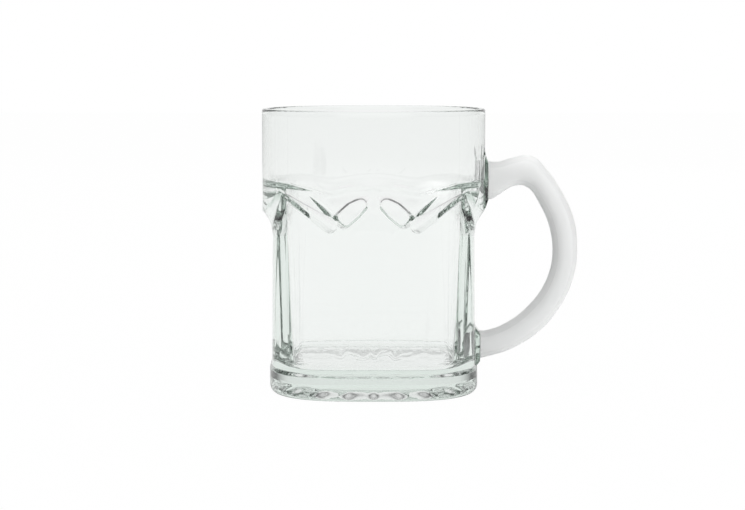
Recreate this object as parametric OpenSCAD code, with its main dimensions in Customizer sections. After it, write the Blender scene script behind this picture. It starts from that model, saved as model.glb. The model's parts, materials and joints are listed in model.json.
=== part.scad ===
// A pressed glass beer mug. The bowl is round at the mouth and rounded square below, and it stands on
// a thick squarish foot. A frosted glass handle is joined to two clear lugs at its side.
// Origin: centre of the base on the bowl's axis. +Z is up and +X points to the handle.

/* [Mouth] */
// Height of the mug, base to lip
mug_h = 100; // [90:1:120]
// Outer radius of the round collar at the mouth
collar_r = 40; // [38:0.5:46]
// Thickness of the collar's wall
collar_wall = 2.4; // [1.8:0.1:3.2]
// Depth from the lip down to the ledge inside the bowl
ledge_depth = 28; // [20:1:34]
// How far the ledge stands in from the collar's inside
ledge_w = 2.6; // [2:0.1:4]

/* [Body] */
// Distance from the axis to each of the four flat sides
side_half = 36; // [34:0.5:37]
// Radius of the slight bulge of each side
side_bulge_r = 90; // [75:1:200]
// Thickness of the body's wall
body_wall = 5; // [4:0.1:6]
// Height of the top of the arch over each side, where the round collar starts
shoulder_z = 63.4; // [50:0.1:66]
// Height of the hollow sweep from a side out to the collar
shoulder_h = 9.6; // [6:0.1:14]
// Height of the same sweep on the inside
throat_h = 14; // [8:0.5:20]
// How far the tops of the inside's arches lie below the ledge
arch_below_ledge = 1.5; // [1:0.1:4]

/* [Foot] */
// Height of the thick foot
foot_h = 8.6; // [6:0.1:9]
// How far the foot stands out past the flat sides
foot_proud = 1.4; // [0.8:0.1:2]
// Radius of the slight bulge of each of the foot's sides
foot_bulge_r = 140; // [120:1:250]
// Distance from the axis to each of the foot's corners
foot_corner_r = 42; // [40:0.5:44]
// Thickness of the glass under the cavity
base_t = 9.8; // [8:0.1:14]
// Rounding where the cavity's floor meets its corners
floor_r = 3; // [1:0.1:5]

/* [Handle] */
// How far the handle's middle line stands out from its roots
handle_reach = 29.5; // [26:0.5:40]
// Thickness of the handle, seen from the side
handle_t = 9; // [7:0.1:11]
// Width of the handle, across the mug
handle_w = 13; // [10:0.5:16]
// Height of the upper root's middle
upper_root_z = 74.2; // [70:0.1:78]
// Height of the upper root, top to bottom
upper_root_h = 14.1; // [10:0.1:15]
// Height of the lower root's middle
lower_root_z = 14.6; // [13:0.1:20]
// Height of the lower root, top to bottom
lower_root_h = 9.9; // [8:0.1:12]
// How far each clear lug stands out from the glass behind it
lug_out = 0.9; // [0.5:0.1:2]
// How far a lug is wider than the handle's root on each side
lug_margin = 0.4; // [0.1:0.1:1]

/* [Hidden] */
$fn = 96;
cut = 1;
sides = 4;
quarter = 90;
glass_tint = [0.86, 0.92, 0.89, 0.6];
frost_tint = [0.95, 0.96, 0.96];

bore_r = collar_r - collar_wall;
throat_r = bore_r - ledge_w;
ledge_z = mug_h - ledge_depth;
lip_r = collar_wall / 2;

// Each flat side is an arc about a line behind the axis, cut from a round blank. Its cut spans the
// angle at which the arc leaves the blank, and a little more.
angle_spare = 2.5;
function centre_back(half, bulge_r) = bulge_r - half;
function leave_x(half, bulge_r, blank_r) =
    (pow(bulge_r, 2) - pow(blank_r, 2) - pow(centre_back(half, bulge_r), 2))
    / (2 * centre_back(half, bulge_r));
function cut_angle(half, bulge_r, blank_r) =
    acos((leave_x(half, bulge_r, blank_r) + centre_back(half, bulge_r)) / bulge_r) + angle_spare;

// A hollow sweep that climbs by rise while it moves out by depth is an arc of this radius
function sweep_r(depth, rise) = (pow(depth, 2) + pow(rise, 2)) / (2 * depth);
shoulder_r = sweep_r(collar_r - side_half, shoulder_h);
throat_sweep_r = sweep_r(throat_r - side_half + body_wall, throat_h);

// The handle meets each lug on a flat seam
root_flare_share = 1.08;
upper_seam_x = collar_r + lug_out;
lower_seam_x = side_half + foot_proud + lug_out;
lug_w = handle_w * root_flare_share + 2 * lug_margin;
lug_sink = body_wall / 2;
web_out = collar_wall;
web_drop = shoulder_h / 2;
lug_fillet = collar_wall;

// The handle's middle line from the upper root round to the lower one. Each point gives shares of
// the height between the roots, of the reach and of the handle's thickness.
route_shares = [
    [1.022, 0.180, 1.28],
    [1.054, 0.352, 1.13],
    [1.046, 0.520, 1.15],
    [0.985, 0.656, 1.06],
    [0.878, 0.800, 1.02],
    [0.763, 0.915, 1.01],
    [0.605, 0.986, 1.00],
    [0.481, 0.981, 1.00],
    [0.344, 0.905, 1.00],
    [0.220, 0.758, 1.00],
    [0.119, 0.559, 1.00],
    [0.050, 0.342, 1.00],
    [0.015, 0.159, 1.00],
];
route_steps = 3;
ring_sides = 20;
// The handle's section lies between an ellipse, at 2, and a rectangle
section_power = 2.6;

root_rise = upper_root_z - lower_root_z;
root_run = upper_seam_x - lower_seam_x;
root_w = handle_w * root_flare_share;

// Each stop holds its place across, its height, and the handle's thickness and width there
route = concat(
    [[upper_seam_x, upper_root_z, upper_root_h, root_w]],
    [for (s = route_shares) [
        lower_seam_x + root_run * s[0] + handle_reach * s[1],
        lower_root_z + root_rise * s[0],
        handle_t * s[2],
        handle_w
    ]],
    [[lower_seam_x, lower_root_z, lower_root_h, root_w]]
);
last_stop = len(route) - 1;
last_ring = last_stop * route_steps;

function stop(i) = route[max(0, min(last_stop, i))];

// A smooth curve from b to c, which leaves towards c and arrives from b
function smooth(a, b, c, d, t) =
    b + (c - a) * t / 2 + (2 * a - 5 * b + 4 * c - d) * t * t / 2 + (3 * b - a - 3 * c + d) * t * t * t / 2;

function on_route(u) =
    let (i = min(last_stop - 1, floor(u)))
    smooth(stop(i - 1), stop(i), stop(i + 1), stop(i + 2), u - i);

function heading(k) =
    k == 0 ? [1, 0] :
    k == last_ring ? [-1, 0] :
    let (
        step = on_route((k + 1) / route_steps) - on_route((k - 1) / route_steps),
        flat = [step[0], step[1]]
    )
    flat / norm(flat);

function bent(v) = sign(v) * pow(abs(v), 2 / section_power);

function ring(k) =
    let (
        p = on_route(k / route_steps),
        h = heading(k)
    )
    [for (j = [0 : ring_sides - 1])
        let (
            a = 360 * (j + 0.5) / ring_sides,
            rise = bent(cos(a)) * p[2] / 2,
            side = bent(sin(a)) * p[3] / 2
        )
        [p[0] - h[1] * rise, side, p[1] + h[0] * rise]
    ];

// What lies outside each of four bulged sides. The children are its outline, in which x is zero on
// the side's middle line and grows outward.
module beyond_sides(half, bulge_r, blank_r) {
    turn = cut_angle(half, bulge_r, blank_r);
    for (k = [0 : sides - 1])
        rotate([0, 0, quarter * k])
            translate([-centre_back(half, bulge_r), 0, 0])
                rotate([0, 0, -turn])
                    rotate_extrude(angle = 2 * turn)
                        translate([bulge_r, 0])
                            children();
}

// An outline with a straight edge at x = 0 that sweeps outward from start_z up, in an arc of radius r
module swept_edge(low, start_z, r) {
    translate([0, low])
        square([2 * r, start_z - low]);
    translate([r, start_z])
        circle(r = r);
}

// The turned outside of the glass, solid up to the ledge and a thin collar above it. It starts
// inside the foot.
module blank() {
    rotate_extrude() {
        polygon([
            [0, foot_h / 2],
            [collar_r, foot_h / 2],
            [collar_r, mug_h - lip_r],
            [bore_r, mug_h - lip_r],
            [bore_r, ledge_z],
            [0, ledge_z],
        ]);
        translate([collar_r - lip_r, mug_h - lip_r])
            circle(r = lip_r);
    }
}

// The blank with its four flat sides, which sweep out to the collar in arched shoulders
module body() {
    difference() {
        blank();
        beyond_sides(side_half, side_bulge_r, collar_r)
            swept_edge(0, shoulder_z - shoulder_h, shoulder_r);
    }
}

// The thick squarish foot
module foot() {
    difference() {
        cylinder(r = foot_corner_r, h = foot_h);
        beyond_sides(side_half + foot_proud, foot_bulge_r, foot_corner_r)
            translate([0, -cut])
                square([foot_corner_r, foot_h + 2 * cut]);
    }
}

// The space inside the body, up to the ledge and a little above it
module cavity() {
    difference() {
        rotate_extrude() {
            translate([0, base_t])
                square([throat_r - floor_r, floor_r]);
            translate([throat_r - floor_r, base_t + floor_r])
                intersection() {
                    circle(r = floor_r);
                    translate([0, -floor_r])
                        square([floor_r, floor_r]);
                }
            translate([0, base_t + floor_r])
                square([throat_r, ledge_z + cut - base_t - floor_r]);
        }
        beyond_sides(side_half - body_wall, side_bulge_r - body_wall, throat_r)
            swept_edge(0, ledge_z - arch_below_ledge - throat_h, throat_sweep_r);
    }
}

// A block across the mug with the outline that its children draw, x outward and y upward
module across(w) {
    rotate([quarter, 0, 0])
        translate([0, 0, -w / 2])
            linear_extrude(height = w)
                children();
}

// The clear lug on the collar, with the web that runs down from it to the body
module upper_lug() {
    top = upper_root_z + upper_root_h / 2;
    bottom = upper_root_z - upper_root_h / 2;
    across(lug_w)
        polygon([
            [collar_r - lip_r, top + lug_fillet],
            [collar_r, top + lug_fillet],
            [upper_seam_x, top],
            [upper_seam_x, bottom],
            [collar_r, bottom - web_out],
            [side_half, shoulder_z - web_drop],
            [side_half - lug_sink, shoulder_z - web_drop],
            [collar_r - lip_r, ledge_z - lug_sink],
        ]);
}

// The clear lug low on the body, above the foot
module lower_lug() {
    top = lower_root_z + lower_root_h / 2;
    bottom = lower_root_z - lower_root_h / 2;
    across(lug_w)
        polygon([
            [side_half - lug_sink, top + lug_fillet],
            [side_half, top + lug_fillet],
            [lower_seam_x, top],
            [lower_seam_x, bottom],
            [side_half + foot_proud, foot_h - lug_out],
            [side_half - lug_sink, foot_h - lug_out],
        ]);
}

// The pressed bowl: foot, body, collar and the two lugs are one piece of glass
module glass_body() {
    color(glass_tint)
        difference() {
            union() {
                body();
                foot();
                upper_lug();
                lower_lug();
            }
            cavity();
        }
}

// The frosted handle, swept along its middle line from the upper seam to the lower one
module handle() {
    points = [for (k = [0 : last_ring]) each ring(k)];
    walls = [for (k = [0 : last_ring - 1]) for (j = [0 : ring_sides - 1])
        let (
            a = k * ring_sides + j,
            b = k * ring_sides + (j + 1) % ring_sides
        )
        [a, b, b + ring_sides, a + ring_sides]
    ];
    caps = [
        [for (j = [ring_sides - 1 : -1 : 0]) j],
        [for (j = [0 : ring_sides - 1]) last_ring * ring_sides + j]
    ];
    color(frost_tint)
        polyhedron(points, concat(walls, caps), convexity = 4);
}

glass_body();
handle();
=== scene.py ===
# %% [markdown]
# # A pressed glass beer mug with a frosted handle
#
# This lesson dresses a plain solid model of a mug. The real object is two pieces of glass: a thick
# clear bowl, pressed in a mould, and a handle with a milky, frosted skin. Clear glass has no colour
# of its own to speak of, so all that we see of it is bent light. That makes the exact shape of both
# its skins, outer and inner, the main work here.
#
# We start from the solid model. It says where everything is, and nothing below moves it.

# %% Load the solid model
import json
import math

import bpy
import numpy as np
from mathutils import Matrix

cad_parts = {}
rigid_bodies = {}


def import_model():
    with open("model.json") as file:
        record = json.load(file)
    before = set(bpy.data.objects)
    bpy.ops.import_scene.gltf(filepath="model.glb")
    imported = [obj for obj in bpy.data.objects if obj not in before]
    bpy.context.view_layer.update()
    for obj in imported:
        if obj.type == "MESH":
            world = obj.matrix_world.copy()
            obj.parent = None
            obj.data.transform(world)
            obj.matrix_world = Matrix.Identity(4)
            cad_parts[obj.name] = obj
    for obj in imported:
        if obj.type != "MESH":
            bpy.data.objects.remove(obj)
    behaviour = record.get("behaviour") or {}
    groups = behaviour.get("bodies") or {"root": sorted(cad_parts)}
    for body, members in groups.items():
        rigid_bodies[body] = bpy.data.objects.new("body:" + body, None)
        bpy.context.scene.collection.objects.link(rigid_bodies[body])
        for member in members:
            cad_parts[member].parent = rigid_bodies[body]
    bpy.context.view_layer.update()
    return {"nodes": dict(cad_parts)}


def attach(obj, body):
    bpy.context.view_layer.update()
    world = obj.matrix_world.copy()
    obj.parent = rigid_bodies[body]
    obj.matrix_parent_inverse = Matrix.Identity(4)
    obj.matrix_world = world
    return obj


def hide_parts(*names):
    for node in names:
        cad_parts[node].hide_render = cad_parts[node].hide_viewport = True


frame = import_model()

MM = 0.001
print("solid model:", ", ".join(sorted(frame["nodes"])))

# %% [markdown]
# ## The camera
#
# The photograph looks a little down on the mug from the front, with the handle to the right. A long
# lens keeps the rim's ellipse as flat as it is in the picture. We could turn the camera by hand
# until the view fits. It is surer to work it out: the ellipses of the rim and the foot give the
# tilt, and a focal length in pixels scales to a sensor of any width.

# %% Place the camera
PHOTO_WIDE = 745
FOCAL_PIXELS = 1950
SENSOR_MM = 36
# The rest in metres, and the tilt below level in degrees
CAMERA_PLACE = (-0.0004, -0.700, 0.1215)
CAMERA_TILT = 6.06
CAMERA_NEAR = 0.01
CAMERA_FAR = 20


def place_camera():
    eye = bpy.data.cameras.new("photo_camera")
    eye.sensor_width = SENSOR_MM
    eye.lens = FOCAL_PIXELS / PHOTO_WIDE * SENSOR_MM
    eye.clip_start = CAMERA_NEAR
    eye.clip_end = CAMERA_FAR
    stand = bpy.data.objects.new("photo_camera", eye)
    stand.location = CAMERA_PLACE
    stand.rotation_euler = (math.radians(90 - CAMERA_TILT), 0, 0)
    bpy.context.scene.collection.objects.link(stand)
    bpy.context.scene.camera = stand
    return eye


print("lens in mm:", round(place_camera().lens, 1))

# %% [markdown]
# ## A small kit for node trees
#
# A finish in Blender is a tree of nodes. Written out node by node it is long and hard to read, so we
# wrap a socket in a small class. Sums and products of such sockets then add the Math nodes by
# themselves.

# %% A wire that can be added and multiplied


class Wire:
    """An output socket. Sums and products of wires add Math nodes."""

    def __init__(self, tree, socket):
        self.tree = tree
        self.socket = socket

    def add_math(self, operation, first, second=0.0):
        return self.tree.node("ShaderNodeMath", {"operation": operation}, {0: first, 1: second})

    def __add__(self, other):
        return self.add_math("ADD", self, other)

    def __radd__(self, other):
        return self.add_math("ADD", other, self)

    def __mul__(self, other):
        return self.add_math("MULTIPLY", self, other)

    def __rmul__(self, other):
        return self.add_math("MULTIPLY", other, self)

    def __abs__(self):
        return self.add_math("ABSOLUTE", self)

    def at_most(self, other):
        return self.add_math("MINIMUM", self, other)


print("made the class", Wire.__name__)

# %% [markdown]
# Math nodes turn a colour grey, so colours are mixed by a method of their own. Every other node
# comes from one method too. It sets the node's own options first, because some of them decide which
# sockets there are, and fills the sockets after that.

# %% A tree that makes nodes


class Tree:
    """The nodes of one material or of the world."""

    def __init__(self, owner):
        owner.use_nodes = True
        self.nodes = owner.node_tree.nodes
        self.links = owner.node_tree.links
        self.nodes.clear()

    def node(self, kind, settings=None, sockets=None, give=0):
        """Add one node: its settings first, then the values or wires of its sockets."""
        made = self.nodes.new(kind)
        for name, value in (settings or {}).items():
            if name == "stops":
                self.set_stops(made.color_ramp, value)
            else:
                setattr(made, name, value)
        for name, value in (sockets or {}).items():
            if isinstance(value, Wire):
                self.links.new(value.socket, made.inputs[name])
            else:
                made.inputs[name].default_value = value
        return Wire(self, made.outputs[give]) if made.outputs else None

    def set_stops(self, ramp, stops):
        """Give a colour ramp its grey stops, as pairs of place and brightness."""
        while len(ramp.elements) < len(stops):
            ramp.elements.new(0.5)
        for element, (place, grey) in zip(ramp.elements, stops):
            element.position = place
            element.color = (grey, grey, grey, 1)

    def ramp(self, stops, place):
        return self.node("ShaderNodeValToRGB", {"stops": stops}, {0: place})

    def mix(self, blend, share, first, second):
        """Mix two colours. A Mix node keeps its colours at sockets 6 and 7 and gives one at 2."""
        settings = {"data_type": "RGBA", "blend_type": blend}
        return self.node("ShaderNodeMix", settings, {0: share, 6: first, 7: second}, give=2)


print("made the class", Tree.__name__)

# %% [markdown]
# ## The studio
#
# Clear glass shows its surroundings, bent and turned over. A white room would make it vanish, and
# a photographer therefore stands it before a bright background and lets the rest of the room fall
# off. Light that goes nearly straight through stays white, and light that a steep skin throws far
# aside turns grey. White and black cards round the mug would do that here too, but every edge of a
# card shows up in the glass. We colour the world by direction instead: bright ahead and behind, dim
# to both sides, and bright again straight overhead, which lifts the darkest parts of the thick
# glass. The camera itself sees plain white.

# %% Light the room by direction
WHITE = (1, 1, 1, 1)
# Brightness by how nearly a ray runs forward or back: 0 is square to that, 1 is along it
AHEAD_STOPS = [(0.0, 0.08), (0.7, 0.08), (0.87, 0.86), (1.0, 0.94)]
# Brightness by height: 0 is straight down, 1 is straight up
HEIGHT_STOPS = [(0.0, 0.95), (0.40, 1.0), (0.72, 0.9), (0.88, 0.65), (1.0, 0.8)]
CEILING_STOPS = [(0.0, 0.0), (0.8, 0.0), (0.92, 0.85), (1.0, 0.95)]


def build_world():
    world = bpy.data.worlds.new("studio")
    bpy.context.scene.world = world
    tree = Tree(world)
    ray = tree.node("ShaderNodeTexCoord", give="Generated")
    ahead = tree.node("ShaderNodeSeparateXYZ", sockets={0: ray}, give="Y")
    up = tree.node("ShaderNodeSeparateXYZ", sockets={0: ray}, give="Z")
    height = up * 0.5 + 0.5
    around = tree.mix("MULTIPLY", 1.0, tree.ramp(AHEAD_STOPS, abs(ahead)),
                      tree.ramp(HEIGHT_STOPS, height))
    lit = tree.mix("LIGHTEN", 1.0, around, tree.ramp(CEILING_STOPS, height))
    room = tree.node("ShaderNodeBackground", sockets={"Color": lit})
    white = tree.node("ShaderNodeBackground", sockets={"Color": WHITE})
    camera = tree.node("ShaderNodeLightPath", give="Is Camera Ray")
    seen = tree.node("ShaderNodeMixShader", sockets={0: camera, 1: room, 2: white})
    tree.node("ShaderNodeOutputWorld", sockets={"Surface": seen})
    return world


print("world:", build_world().name)

# %% [markdown]
# ## The floor
#
# The mug stands on a plain pale sheet. Lit paper alone would come out grey, and the light that
# turns it white would wash out the handle. So to the camera, and through the glass, the sheet is
# mostly a white glow, with enough of its own shading left to keep the mug's soft shadow. What the
# glass shows of it is painted shade: a glow a little darker and a touch greener than white.

# %% The floor's finish
PAPER = (0.92, 0.92, 0.92, 1)
FLOOR_GLOW = 0.985
THROUGH_GLOW = 0.92
# Painted shade: the colour of the floor's glow as the glass shows it, a little darker and greener
# than white
THROUGH_SHADE = (0.92, 0.94, 0.928, 1)


def floor_finish():
    material = bpy.data.materials.new("pale_floor")
    tree = Tree(material)
    camera = tree.node("ShaderNodeLightPath", give="Is Camera Ray")
    through = tree.node("ShaderNodeLightPath", give="Is Transmission Ray")
    paper = tree.node("ShaderNodeBsdfDiffuse", sockets={"Color": PAPER})
    # White to the camera, and the painted shade through the glass
    tone = tree.mix("MIX", camera, THROUGH_SHADE, WHITE)
    glow = tree.node("ShaderNodeEmission", sockets={"Color": tone, "Strength": 1.0})
    share = (camera * FLOOR_GLOW + through * THROUGH_GLOW).at_most(1.0)
    sheet = tree.node("ShaderNodeMixShader", sockets={0: share, 1: paper, 2: glow})
    tree.node("ShaderNodeOutputMaterial", sockets={"Surface": sheet})
    return material


pale_floor = floor_finish()
print("finish:", pale_floor.name)

# %% [markdown]
# The sheet is one big square. It lies a hair below the base, so that the two faces don't fight for
# the same place. The small function that puts a mesh in the scene serves the bowl and the handle
# later on.

# %% Lay the floor
FLOOR_HALF = 3.0
FLOOR_DROP = 0.0001


def add_object(name, mesh, finish):
    thing = bpy.data.objects.new(name, mesh)
    bpy.context.scene.collection.objects.link(thing)
    mesh.materials.append(finish)
    return thing


def build_floor():
    sheet = bpy.data.meshes.new("floor")
    corners = [(x * FLOOR_HALF, y * FLOOR_HALF, -FLOOR_DROP)
               for x, y in ((-1, -1), (1, -1), (1, 1), (-1, 1))]
    sheet.from_pydata(corners, [], [(0, 1, 2, 3)])
    floor = add_object("floor", sheet, pale_floor)
    return floor


print("floor:", build_floor().name)

# %% [markdown]
# ## Lamps
#
# The frosted handle scatters light, so it needs lamps as well as surroundings. Small lamps would
# give it hard highlights, and in the clear glass every lamp would show as a bright disc. We take
# three broad soft ones, and hide them from reflections and from what is seen through the glass.

# %% Set up three soft lamps
# Each lamp's name, place, aim, width and power, in metres and watts
LAMPS = [
    ("soft_top", (-0.3, -0.4, 1.3), (0, 0, 0.05), 1.2, 8.0),
    ("soft_side", (1.0, -0.5, 0.25), (0.05, 0, 0.05), 0.6, 3.2),
    ("soft_back", (0.3, 1.1, 0.6), (0.02, 0, 0.05), 0.8, 2.5),
]


def add_lamp(name, place, aim, wide, power):
    lamp = bpy.data.lights.new(name, "AREA")
    lamp.shape = "DISK"
    lamp.size = wide
    lamp.energy = power
    stand = bpy.data.objects.new(name, lamp)
    stand.location = place
    stand.visible_glossy = False
    stand.visible_transmission = False
    x, y, z = [a - p for a, p in zip(aim, place)]
    stand.rotation_euler = (math.atan2(math.hypot(x, y), -z), 0, math.atan2(y, x) - math.pi / 2)
    bpy.context.scene.collection.objects.link(stand)


for lamp_settings in LAMPS:
    add_lamp(*lamp_settings)
print("lamps:", ", ".join(lamp[0] for lamp in LAMPS))

# %% [markdown]
# ## The bowl, skin by skin
#
# The bowl is round at the mouth and rounded square below. A cube could be smoothed and pulled into
# that, but its skins would then lie only roughly where the light needs them. We describe each skin
# by its distance from the axis at every angle and height, which is all that a shape without
# undercuts needs. A few curves do most of the work: a smooth step, the smaller and the larger of
# two with a soft corner between them, a rounded edge, and the rounded square itself.

# %% Curves that blend


def ease(t):
    """A smooth step from 0 to 1."""
    t = np.clip(t, 0, 1)
    return t * t * (3 - 2 * t)


def least(a, b, soft):
    """The smaller of two, with the corner between them rounded over."""
    share = np.clip(0.5 + 0.5 * (b - a) / soft, 0, 1)
    return b * (1 - share) + a * share - soft * share * (1 - share)


def most(a, b, soft):
    """The larger of two, with the corner between them filled."""
    return -least(-a, -b, soft)


def rounded(past, radius):
    """How far a rounded edge has drawn back, at this distance past its start."""
    past = np.clip(past, 0, radius)
    return radius - np.sqrt(np.maximum(radius ** 2 - past ** 2, 0))


def squarish(theta, half, power):
    """A rounded square: half is its half width across the sides."""
    cosine, sine = np.abs(np.cos(theta)), np.abs(np.sin(theta))
    return half / (cosine ** power + sine ** power) ** (1 / power)


print("a smooth step, a quarter of the way up:", ease(0.25))

# %% [markdown]
# ### Body and shoulders
#
# The plunger and the mould leave a round collar on a squarish body, and the glass between them
# sweeps out in shoulders. At the left and right sides the shoulder is a crisp arch, an eighth of a
# circle that leaves the side upright. In front and behind it is long and soft. One number, which
# is 1 at the two sides and falls to 0 in front and behind, leads from one form to the other.

# %% Body and shoulders, in mm
COLLAR_R = 40.0
SIDE_HALF = 36.0
SIDE_POWER = 3.3
FLARE = 0.6
SIDE_FADE = 4
SHOULDER_TOP_SIDE = 63.4
SHOULDER_LOW_SIDE = 53.8
SHOULDER_TOP_FRONT = 72.0
SHOULDER_LOW_FRONT = 57.0
SHOULDER_SOFT = 0.3


def shoulder(theta, z):
    """The body below the collar, with its slight flare towards the foot, and the collar."""
    side = np.abs(np.cos(theta)) ** SIDE_FADE
    top = SHOULDER_TOP_FRONT * (1 - side) + SHOULDER_TOP_SIDE * side
    low = SHOULDER_LOW_FRONT * (1 - side) + SHOULDER_LOW_SIDE * side
    flare = FLARE * np.clip(1 - z / SHOULDER_LOW_SIDE, 0, 1)
    body = squarish(theta, SIDE_HALF, SIDE_POWER) + flare
    depth = np.maximum(COLLAR_R - body, 0.0)
    t = np.clip((z - low) / (top - low), 0, 1)
    eighth = math.sqrt(0.5)
    arch = (1 - np.sqrt(1 - (t * eighth) ** 2)) / (1 - eighth)
    rise = (1 - side) * ease(t) + side * arch
    return least(np.full_like(theta, COLLAR_R), body + depth * rise, SHOULDER_SOFT)


corner = float(squarish(math.pi / 4, SIDE_HALF, SIDE_POWER))
print("body:", SIDE_HALF, "mm from the axis at a side and", round(corner, 1), "at a corner")

# %% [markdown]
# ### Foot and lip
#
# The foot is a low slab, a little wider than the body, with a rounded heel. The lip is rounded over
# too, since it meets the drinker's mouth. Bevels could be cut into the finished mesh, but it is
# simpler to let the skins draw back along a quarter of a circle.

# %% Foot and lip, in mm
HIGH = 100.0
LIP_R = 0.8
FOOT_H = 8.6
FOOT_HALF = 37.3
FOOT_POWER = 3.0
FOOT_BLEND = 1.2
HEEL = 1.8


def with_foot(theta, z, r):
    foot = squarish(theta, FOOT_HALF, FOOT_POWER)
    body_share = ease((z - (FOOT_H - FOOT_BLEND / 2)) / FOOT_BLEND)
    r = foot * (1 - body_share) + r * body_share
    return r - rounded(HEEL - z, HEEL)


def with_lip(z, r, turn):
    """Round the lip over: turn is -1 on the outer skin and 1 on the inner one."""
    return r + turn * rounded(z - (HIGH - LIP_R), LIP_R)


print("foot: proud of the body by", round(FOOT_HALF - SIDE_HALF, 1), "mm")

# %% [markdown]
# ### Lugs for the handle
#
# The handle doesn't grow straight from the wall. The mould gives the bowl two clear blocks with
# flat faces, and the frosted bar joins them there. Two boxes joined to the bowl would leave faces
# inside the glass, where light would bend once more. So we move the skin itself out to the face of
# each lug, and fill the corner round it a little.

# %% Lugs, in mm
LUG_HALF = 7.4
LUG_EDGE = 0.7
LUG_SOFT = 0.25
# A lug lies only where the angle's cosine is above this
LUG_SECTOR = 0.7
# Each outline goes up the face, as pairs of height and distance from the axis
UPPER_LUG = [(56.0, 35.6), (58.6, 36.2), (64.9, 40.0), (67.0, 40.7), (67.6, 40.9),
             (80.8, 40.9), (81.6, 40.6), (83.6, 39.9), (86.0, 39.5)]
LOWER_LUG = [(7.2, 36.5), (8.6, 37.6), (9.7, 38.3), (19.3, 38.3), (20.2, 37.7), (22.6, 36.1),
             (24.0, 35.5)]


def with_lugs(theta, z, r):
    """Two flat-faced blocks on the +X side, which the handle grows from."""
    across = np.abs(r * np.sin(theta))
    cosine = np.maximum(np.cos(theta), LUG_SECTOR)
    inside = ease((LUG_HALF + LUG_EDGE / 2 - across) / LUG_EDGE)
    for outline in (UPPER_LUG, LOWER_LUG):
        heights, faces = zip(*outline)
        proud = most(r, np.interp(z, heights, faces) / cosine, LUG_SOFT)
        here = (np.cos(theta) > LUG_SECTOR) & (z > heights[0]) & (z < heights[-1])
        r = np.where(here, r * (1 - inside) + proud * inside, r)
    return r


upper_face = max(out for height, out in UPPER_LUG)
lower_face = max(out for height, out in LOWER_LUG)
print("lugs: faces at", upper_face, "and", lower_face, "mm from the axis")

# %% [markdown]
# ### Leaves and petals
#
# Just below the mouth the mould pressed long finger-shaped leaves and shorter petals into the front
# shoulder. A picture of them on a smooth wall would look flat. Sunk into the skin, each bends the
# light at its steep edge, which shows as a thin dark outline round a bright middle. A leaf is a
# short line of points, with a width and a depth at each. Within that width the skin drops over a
# steep bevel and then dips gently towards the line.

# %% Leaves and petals, in mm
# Each point's angle from the front in degrees, height, half width and depth
LEAF = [(23.2, 61.0, 2.8, 4.4), (27.5, 62.9, 2.5, 3.4), (36.2, 66.3, 1.9, 2.2),
        (54.0, 72.0, 0.9, 1.0)]
PETAL = [(16.2, 63.1, 3.3, 3.6), (10.5, 66.3, 3.3, 3.4), (6.5, 68.4, 2.8, 2.2),
         (3.0, 70.4, 1.4, 0.3)]
BEVEL = 1.15
BEVEL_SHARE = 0.75


def from_front(theta):
    """Degrees round from the front, which faces -Y: 0 there and 180 at the back."""
    return np.degrees(np.abs((theta + math.pi / 2 + math.pi) % (2 * math.pi) - math.pi))


def pressed(theta, z, shape):
    """How deep a leaf or petal and its mirror image go at each point."""
    across = from_front(theta)
    mm_per_degree = math.radians(1) * COLLAR_R
    deepest = np.zeros_like(z)
    for (a0, z0, w0, d0), (a1, z1, w1, d1) in zip(shape, shape[1:]):
        dx, dz = (a1 - a0) * mm_per_degree, z1 - z0
        px, pz = (across - a0) * mm_per_degree, z - z0
        t = np.clip((px * dx + pz * dz) / (dx * dx + dz * dz), 0, 1)
        gap = np.hypot(px - t * dx, pz - t * dz)
        width = w0 + (w1 - w0) * t
        edge = ease(np.clip(width - gap, 0, None) / np.minimum(BEVEL, width))
        crown = np.maximum(1 - (gap / width) ** 2, 0)
        bowled = BEVEL_SHARE * edge + (1 - BEVEL_SHARE) * crown
        deepest = np.maximum(deepest, (d0 + (d1 - d0) * t) * bowled)
    return deepest


print("leaf and petal: up to", LEAF[0][3], "and", PETAL[0][3], "mm deep")

# %% [markdown]
# ### Inside the bowl
#
# Inside, the mouth steps in at a soft wavy ledge. Below it the cavity is square with rounded
# corners, and each of its sides climbs to the round throat in an arch. The height of the ledge and
# of the arches changes on the way round. A few heights by angle say how, and an average over a
# narrow fan of angles takes the kinks out.

# %% Heights that change on the way round, in degrees and mm
LEDGE = [(0, 73.6), (12, 73.0), (24, 71.5), (36, 73.0), (50, 73.8), (90, 73.6)]
CREST = [(0, 73.5), (24, 69), (48, 73), (90, 73)]
LEDGE_FAN = 4.0
CREST_FAN = 3.0
FAN_STEPS = 7


def folded(angle):
    """Bring the back half's angles onto the front half's."""
    return np.where(angle > 90, 180 - angle, angle)


def wave(theta, points, fan):
    """A height that changes with the angle from the front, the same in all four quarters."""
    angles, heights = zip(*points)
    across = folded(from_front(theta))
    total = 0
    for shift in np.linspace(-fan, fan, FAN_STEPS):
        total = total + np.interp(folded(np.abs(across + shift)), angles, heights)
    return total / FAN_STEPS


ledge_heights = [height for angle, height in LEDGE]
print("ledge: between", min(ledge_heights), "and", max(ledge_heights), "mm up")

# %% [markdown]
# Where the plunger slid along the glass it left faint upright streaks, which bend the background
# into soft stripes. A bump map could do that too, but then the stripes would need a picture or more
# nodes, and here a short sum is enough. Three sine waves whose counts share no factor move the skin
# by up to 0.3 mm, and nearly fade out at the corners.

# %% Streaks on the inner skin, in mm
# Each wave's depth, how many of it go round, and where it starts
STREAKS = [(0.14, 17, 1), (0.1, 31, 2), (0.05, 53, 0)]
STREAK_LOW = 12
STREAK_TOP = 66
STREAK_FADE = 6
CORNER_SHARE = 0.06
# The sine past which a side counts as flat, and the span in which the streaks grow there
FLAT_SINE = 0.82
FLAT_SPAN = 0.1


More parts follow.
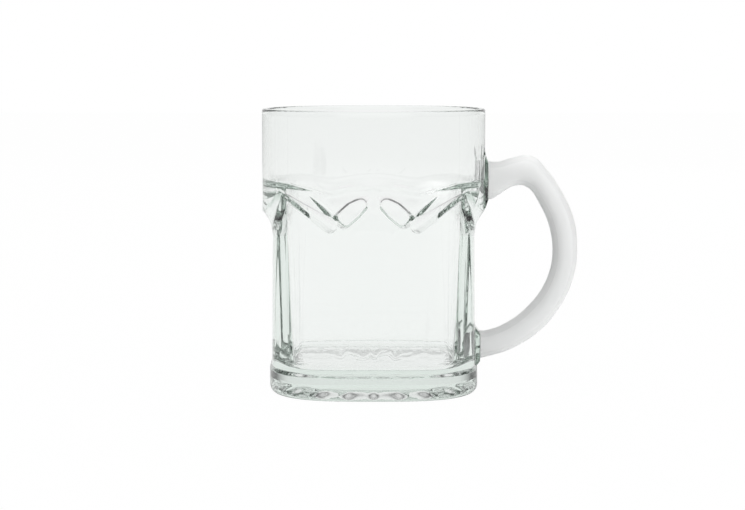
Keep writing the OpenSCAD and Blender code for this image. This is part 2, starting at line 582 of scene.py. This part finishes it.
def streaks(theta, z):
    flat = ease((np.abs(np.sin(theta)) - FLAT_SINE) / FLAT_SPAN)
    waves = sum(deep * np.sin(count * theta + start) for deep, count, start in STREAKS)
    low, high = ease((z - STREAK_LOW) / STREAK_FADE), ease((STREAK_TOP - z) / STREAK_FADE)
    return waves * (CORNER_SHARE + flat) * low * high


print("streaks: at most", round(sum(deep for deep, count, start in STREAKS), 2), "mm")

# %% [markdown]
# Now the inner skin as a whole. The cavity widens slightly upward, so that the plunger could draw
# out, and its floor is rounded where it meets the sides.

# %% The inner skin, in mm
COLLAR_WALL = 2.4
LEDGE_SOFT = 3.0
THROAT_R = 36.4
CAVITY_HALF = 30.2
CAVITY_POWER = 4.8
# The draft widens the cavity by this share of the height above the middle
DRAFT = 0.015
DRAFT_MIDDLE = 50
FLOOR_Z = 9.8
FLOOR_ROUND = 3.0
# The arches climb this many times as high as they reach out
ARCH_CLIMB = 3.0
LEAST_DEPTH = 0.02
LEAST_CLIMB = 0.1


def inner_skin(theta, z):
    body = squarish(theta, CAVITY_HALF, CAVITY_POWER) + DRAFT * (z - DRAFT_MIDDLE)
    depth = np.maximum(THROAT_R - body, LEAST_DEPTH)
    crest = wave(theta, CREST, CREST_FAN)
    rise = depth * ARCH_CLIMB
    t = np.clip((z - (crest - rise)) / np.maximum(rise, LEAST_CLIMB), 0, 1)
    # A step that starts and ends even more softly than ease, so that the arch shows no crease
    r = np.minimum(body + depth * t ** 3 * (t * (6 * t - 15) + 10), THROAT_R)
    step = ease((z - wave(theta, LEDGE, LEDGE_FAN)) / LEDGE_SOFT + 0.5)
    r = r + (COLLAR_R - COLLAR_WALL - THROAT_R) * step
    r = r - rounded(FLOOR_ROUND - (z - FLOOR_Z), FLOOR_ROUND)
    return with_lip(z, r + streaks(theta, z), 1)


print("cavity: from", FLOOR_Z, "mm up, and", 2 * CAVITY_HALF, "mm across at its middle")

# %% [markdown]
# The outer skin puts its parts together in the order in which each covers the last: body and
# shoulders, the pressed leaves, the foot, the lugs and the lip. The leaves go deep enough to come
# near the cavity. There they stop short, so that some wall is always left between the two skins.

# %% The outer skin, in mm
WALL_LEAST = 1.6
LEAF_TOP = 72.5
LEAF_FADE = 3


def outer_skin(theta, z):
    r = shoulder(theta, z)
    leaves = np.maximum(pressed(theta, z, LEAF), pressed(theta, z, PETAL))
    leaves = leaves * ease((LEAF_TOP - z) / LEAF_FADE)
    spare = np.maximum(r - inner_skin(theta, z) - WALL_LEAST, 0)
    r = np.minimum(r - np.minimum(leaves, spare), COLLAR_R)
    r = with_foot(theta, z, r)
    r = with_lugs(theta, z, r)
    return with_lip(z, r, -1)


front = np.array([-math.pi / 2])
half_way = np.array([HIGH / 2])
front_wall = outer_skin(front, half_way) - inner_skin(front, half_way)
print("wall at the front, half way up:", round(float(front_wall[0]), 1), "mm")

# %% [markdown]
# ### Underside
#
# The real base can't be seen from below, but the broken light in the thick foot says that it isn't
# plain. A flat one would leave the foot clear and empty. We give it what such mugs often have: a
# hollow, so that the mug stands on its rim, and a ring of short flutes within the hollow. Its
# height depends on the angle and on the share of the way out from the axis.

# %% The underside, with its sizes in mm and its places as shares of the way out
FLUTES = 20
FLUTE_DEEP = 1.35
FLUTE_IN = 0.6
FLUTE_OUT = 0.9
FLUTE_IN_SPAN = 0.3
FLUTE_OUT_SPAN = 0.2
FLUTE_POWER = 1.5
HOLLOW_DEEP = 2.8
HOLLOW_SPAN = 0.25


def under_z(theta, share):
    hollow = HOLLOW_DEEP * ease((FLUTE_OUT - share) / HOLLOW_SPAN)
    ring = ease((share - FLUTE_IN) / FLUTE_IN_SPAN) * ease((FLUTE_OUT - share) / FLUTE_OUT_SPAN)
    flute = (0.5 + 0.5 * np.cos(FLUTES * (theta + math.pi / 2))) ** FLUTE_POWER
    return hollow + FLUTE_DEEP * ring * flute


print("underside: a hollow of", HOLLOW_DEEP, "mm and", FLUTES, "flutes")

# %% [markdown]
# ### Floor
#
# The floor of the cavity is nearly flat. Pressed glass is never as true as a ground face, and a
# perfectly flat floor looks machined. So it has a faint ripple, worked out in the same way as the
# underside.

# %% The floor of the cavity, rippled in rings that sway and in spokes that twist
RIPPLE_DEEP = 0.03
RIPPLE_RINGS = 9
RIPPLE_SWAY = 1.3
RIPPLE_SWAYS = 3
RIPPLE_START = 1
RIPPLE_SPOKES = 5
RIPPLE_TWIST = 4
RIPPLE_EDGE = 0.95
RIPPLE_SPAN = 0.2


def floor_z(theta, share):
    sway = RIPPLE_SWAY * np.sin(RIPPLE_SWAYS * theta + RIPPLE_START)
    rings = np.sin(RIPPLE_RINGS * share + sway)
    ripple = RIPPLE_DEEP * rings * np.sin(RIPPLE_SPOKES * theta + RIPPLE_TWIST * share)
    return FLOOR_Z + ripple * ease((RIPPLE_EDGE - share) / RIPPLE_SPAN)


print("floor:", FLOOR_Z, "mm up, with ripples of", RIPPLE_DEEP, "mm")

# %% [markdown]
# ## Both skins as one closed mesh
#
# Light has to find a way in and a way out, so the glass is one closed mesh. Rings of points run
# from the middle of the base out, up the outer skin, over the lip, down the inner skin and back to
# the middle of the floor. Light bends at the mesh's normals, so the rings lie close together where
# the shape turns. Adding points everywhere would do as well, but would be slow and heavy.

# %% Where the rings lie, in mm
ANGLES = 720
BUNCHING = 0.12
QUARTER_STEPS = 9
FOOT_BAND = 0.7
ABOVE_LOWER_LUG = 26
BELOW_ARCHES = 50
BELOW_LEAVES = 52
ABOVE_LEAVES = 76
UPPER_LUG_TOP = 84
# Each band's start, its end and its number of rings
OUTER_BANDS = [
    (HEEL, FOOT_H - FOOT_BAND, 14),
    (FOOT_H - FOOT_BAND, FOOT_H + FOOT_BAND, 12),
    (FOOT_H + FOOT_BAND, ABOVE_LOWER_LUG, 40),
    (ABOVE_LOWER_LUG, BELOW_LEAVES, 40),
    (BELOW_LEAVES, ABOVE_LEAVES, 140),
    (ABOVE_LEAVES, UPPER_LUG_TOP, 24),
    (UPPER_LUG_TOP, HIGH - LIP_R, 12),
]
INNER_BANDS = [
    (FLOOR_Z + FLOOR_ROUND, BELOW_ARCHES, 60),
    (BELOW_ARCHES, ABOVE_LEAVES, 120),
    (ABOVE_LEAVES, HIGH - LIP_R, 20),
]


def ring_angles():
    """Angles that lie closer together over the front and back, where the leaves are."""
    t = np.linspace(0, 2 * math.pi, ANGLES, endpoint=False)
    return t + BUNCHING * np.sin(2 * t)


def spans(bands):
    return np.concatenate([np.linspace(a, b, n, endpoint=False) for a, b, n in bands])


quarter = np.linspace(0, math.pi / 2, QUARTER_STEPS)
lip_z = HIGH - LIP_R + LIP_R * np.sin(quarter)
turns = ring_angles()
outer_z = np.concatenate([HEEL * (1 - np.cos(quarter[:-1])), spans(OUTER_BANDS), lip_z])
inner_z = np.concatenate([FLOOR_Z + FLOOR_ROUND * (1 - np.cos(quarter[:-1])),
                          spans(INNER_BANDS), lip_z[:-1]])
print("rings:", len(outer_z), "outer and", len(inner_z), "inner, of", ANGLES, "points")

# %% [markdown]
# One function turns any stack of rings into a mesh: a wall of four-sided faces between each ring
# and the next, and a cap on the first and the last. The handle uses it again.

# %% From rings to a mesh


def ring_mesh(name, rings):
    """A closed mesh through rings that all have the same number of points."""
    sides = len(rings[0])
    starts = np.arange(len(rings) - 1)[:, None] * sides
    near = (starts + np.arange(sides)).ravel()
    turned = (starts + (np.arange(sides) + 1) % sides).ravel()
    walls = np.column_stack([near, turned, turned + sides, near + sides]).tolist()
    last = (len(rings) - 1) * sides
    caps = [list(range(sides))[::-1], list(range(last, last + sides))]
    mesh = bpy.data.meshes.new(name)
    mesh.from_pydata(np.concatenate(rings).tolist(), [], walls + caps)
    mesh.shade_smooth()
    return mesh


print("made the helper", ring_mesh.__name__)

# %% [markdown]
# The bowl's rings are those of the underside, the outer skin, the inner skin and the floor, one
# after the other. The underside and the floor are the nearest skin's ring, drawn in towards the
# axis step by step. They end just short of it, because points that share one place would leave
# faces without an area.

# %% The bowl's mesh
CENTRE_SHARE = 0.0005
UNDER_SHARES = np.concatenate([[CENTRE_SHARE], np.linspace(0.02, 0.98, 60)])
FLOOR_SHARES = np.concatenate([np.linspace(0.97, 0.05, 30), [CENTRE_SHARE]])


def level(value):
    """The same value at every angle."""
    return np.full_like(turns, value)


def bowl_ring(r, z):
    return np.column_stack([r * np.cos(turns), r * np.sin(turns), z]) * MM


def bowl_rings():
    base = outer_skin(turns, level(outer_z[0]))
    edge = inner_skin(turns, level(inner_z[0]))
    return (
        [bowl_ring(base * share, under_z(turns, level(share))) for share in UNDER_SHARES]
        + [bowl_ring(outer_skin(turns, level(z)), level(z)) for z in outer_z]
        + [bowl_ring(inner_skin(turns, level(z)), level(z)) for z in inner_z[::-1]]
        + [bowl_ring(edge * share, floor_z(turns, level(share))) for share in FLOOR_SHARES]
    )


bowl_shape = ring_mesh("clear_bowl", bowl_rings())
print("bowl:", len(bowl_shape.vertices), "points")

# %% [markdown]
# ## Clear glass
#
# Soda-lime glass bends light by about 1.5 and swallows a little red and blue on the way, which is
# why thick edges look green. A green surface would be wrong, because then a thin wall would look
# as green as the foot. The tint therefore sits in the volume, and the surface is plain. A very
# faint swirl in the skin keeps the reflections from being perfect.

# %% The clear glass
GLASS_BEND = 1.5
GLASS_TINT = (0.70, 0.80, 0.74, 1)
GLASS_DENSITY = 10.0
SWIRL_SCALE = 60.0
SWIRL_DETAIL = 2.0
SWIRL_STRENGTH = 0.02
SWIRL_HIGH = 0.001


def clear_glass():
    material = bpy.data.materials.new("clear_pressed_glass")
    tree = Tree(material)
    place = tree.node("ShaderNodeTexCoord", give="Object")
    swirl = tree.node("ShaderNodeTexNoise", sockets={
        "Vector": place, "Scale": SWIRL_SCALE, "Detail": SWIRL_DETAIL})
    skin = tree.node("ShaderNodeBump", sockets={
        "Strength": SWIRL_STRENGTH, "Distance": SWIRL_HIGH, "Height": swirl})
    glass = tree.node("ShaderNodeBsdfPrincipled", sockets={
        "Base Color": WHITE, "Roughness": 0.0, "IOR": GLASS_BEND, "Transmission Weight": 1.0,
        "Normal": skin})
    tint = tree.node("ShaderNodeVolumeAbsorption", sockets={
        "Color": GLASS_TINT, "Density": GLASS_DENSITY})
    tree.node("ShaderNodeOutputMaterial", sockets={"Surface": glass, "Volume": tint})
    return material


def build_bowl():
    bowl = add_object("clear_bowl", bowl_shape, clear_glass())
    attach(bowl, "root")
    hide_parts("glass_body")
    return bowl


print("bowl dressed in", build_bowl().active_material.name)

# %% [markdown]
# ## The frosted handle
#
# The handle leaves its upper lug level, rises to a soft hump, and runs round to the lower lug. A
# bar swept along one middle line would have the same thickness all the way. The real one swells
# towards the upper lug, so we give the two edges of its side view and let the section follow
# between them.

# %% The handle's two edges, in mm from the axis and up
HANDLE_OUT = [
    (40.7, 81.1), (44.7, 80.9), (48.3, 81.9), (52.2, 82.9), (55.1, 83.3), (58.3, 82.2), (60.8, 79.8),
    (64.3, 75.4), (68.1, 69.4), (71.1, 63.2), (72.9, 56.6), (73.4, 49.9), (73.0, 43.2), (71.2, 36.4),
    (68.3, 30.1), (63.4, 23.1), (57.8, 17.9), (52.2, 14.4), (46.5, 11.9), (38.1, 9.7),
]
HANDLE_IN = [
    (40.7, 67.2), (43.2, 67.9), (46.9, 70.3), (49.4, 71.9), (52.0, 72.5), (54.6, 72.0), (57.0, 70.2),
    (59.6, 66.0), (62.3, 60.6), (64.0, 54.8), (64.6, 49.2), (64.2, 43.6), (62.6, 38.4), (60.0, 33.4),
    (56.4, 29.0), (51.8, 24.8), (46.6, 21.6), (43.2, 20.3), (40.6, 19.6), (38.1, 19.5),
]
HANDLE_RINGS = 160
FINE_STEPS = 24


def smooth_line(points, count):
    """Points at even steps on a smooth curve through the given ones."""
    given = np.array(points)
    given = np.vstack([2 * given[0] - given[1], given, 2 * given[-1] - given[-2]])
    fine = []
    for a, b, c, d in zip(given, given[1:], given[2:], given[3:]):
        t = np.linspace(0, 1, FINE_STEPS, endpoint=False)[:, None]
        fine.append(b + (c - a) * t / 2 + (2 * a - 5 * b + 4 * c - d) * t ** 2 / 2
                    + (3 * b - a - 3 * c + d) * t ** 3 / 2)
    fine = np.vstack(fine + [given[-2][None]])
    gone = np.concatenate([[0], np.cumsum(np.hypot(*np.diff(fine, axis=0).T))])
    at = np.linspace(0, gone[-1], count)
    return np.column_stack([np.interp(at, gone, fine[:, k]) for k in (0, 1)])


out_edge = smooth_line(HANDLE_OUT, HANDLE_RINGS)
in_edge = smooth_line(HANDLE_IN, HANDLE_RINGS)
print("handle: reaches out to", round(float(out_edge[:, 0].max()), 1), "mm")

# %% [markdown]
# Cut across, the bar is something between an ellipse and a rectangle. At each lug it flares a
# little, as soft glass does when it is pushed against more glass.

# %% The handle's shape
HANDLE_HALF_W = 6.5
HANDLE_SIDES = 48
SECTION_POWER = 2.3
ROOT_FLARE = 0.08
ROOT_FADE = 30


def boxy(v):
    """Push a sine or cosine outward, which turns a circle into a rounded square."""
    return np.sign(v) * np.abs(v) ** (2 / SECTION_POWER)


def handle_rings():
    middles, halves = (out_edge + in_edge) / 2, (out_edge - in_edge) / 2
    turn = np.linspace(0, 2 * math.pi, HANDLE_SIDES, endpoint=False)
    rise, side = boxy(np.cos(turn)), boxy(np.sin(turn))
    along = np.linspace(0, 1, HANDLE_RINGS)
    flares = 1 + ROOT_FLARE * (np.exp(-along * ROOT_FADE) + np.exp(-(1 - along) * ROOT_FADE))
    rings = []
    for middle, half, flare in zip(middles, halves, flares):
        x, z = middle[0] + half[0] * rise, middle[1] + half[1] * rise
        rings.append(np.column_stack([x, HANDLE_HALF_W * flare * side, z]) * MM)
    return rings


handle_shape = ring_mesh("frosted_handle", handle_rings())
print("handle:", len(handle_shape.vertices), "points")

# %% [markdown]
# ## Frosted glass
#
# A frosted skin is a field of tiny pits. Light that meets it scatters, so the glass looks white and
# soft, and only a little of the light passes through. Clear glass with a very rough surface would
# be truer, but it is slow and grainy to render. A white scattering surface that lets a small share
# of the light through looks much the same, and the pits are left to a fine bump.

# %% The frosted glass
FROST_WHITE = (0.96, 0.97, 0.965, 1)
FROST_ROUGH = 0.6
FROST_CLOUD = 0.1
FROST_THROUGH = 0.12
CLOUD_SCALE = 90.0
PIT_SCALE = 2400.0
FROST_DETAIL = 3.0
PIT_STRENGTH = 0.12
PIT_DEEP = 0.0002


def frosted_glass():
    material = bpy.data.materials.new("frosted_glass")
    tree = Tree(material)
    place = tree.node("ShaderNodeTexCoord", give="Object")
    pits = tree.node("ShaderNodeTexNoise", sockets={
        "Vector": place, "Scale": PIT_SCALE, "Detail": FROST_DETAIL})
    cloud = tree.node("ShaderNodeTexNoise", sockets={
        "Vector": place, "Scale": CLOUD_SCALE, "Detail": FROST_DETAIL})
    skin = tree.node("ShaderNodeBump", sockets={
        "Strength": PIT_STRENGTH, "Distance": PIT_DEEP, "Height": pits})
    glass = tree.node("ShaderNodeBsdfPrincipled", sockets={
        "Base Color": FROST_WHITE, "Roughness": FROST_ROUGH + cloud * FROST_CLOUD,
        "IOR": GLASS_BEND, "Transmission Weight": FROST_THROUGH, "Normal": skin})
    tree.node("ShaderNodeOutputMaterial", sockets={"Surface": glass})
    return material


def build_handle():
    handle = add_object("frosted_handle", handle_shape, frosted_glass())
    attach(handle, "root")
    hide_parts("handle")
    return handle


print("handle dressed in", build_handle().active_material.name)

# %% [markdown]
# ## Settings of the view
#
# Glass needs many bounces, because light turns over several times in a thick base before it leaves.
# With too few of them the foot would go black.

# %% Finish
MOST_BOUNCES = 24
MOST_REFLECTIONS = 16

scene = bpy.context.scene
scene.view_settings.view_transform = "Standard"
scene.cycles.max_bounces = MOST_BOUNCES
scene.cycles.transmission_bounces = MOST_BOUNCES
scene.cycles.transparent_max_bounces = MOST_BOUNCES
scene.cycles.glossy_bounces = MOST_REFLECTIONS
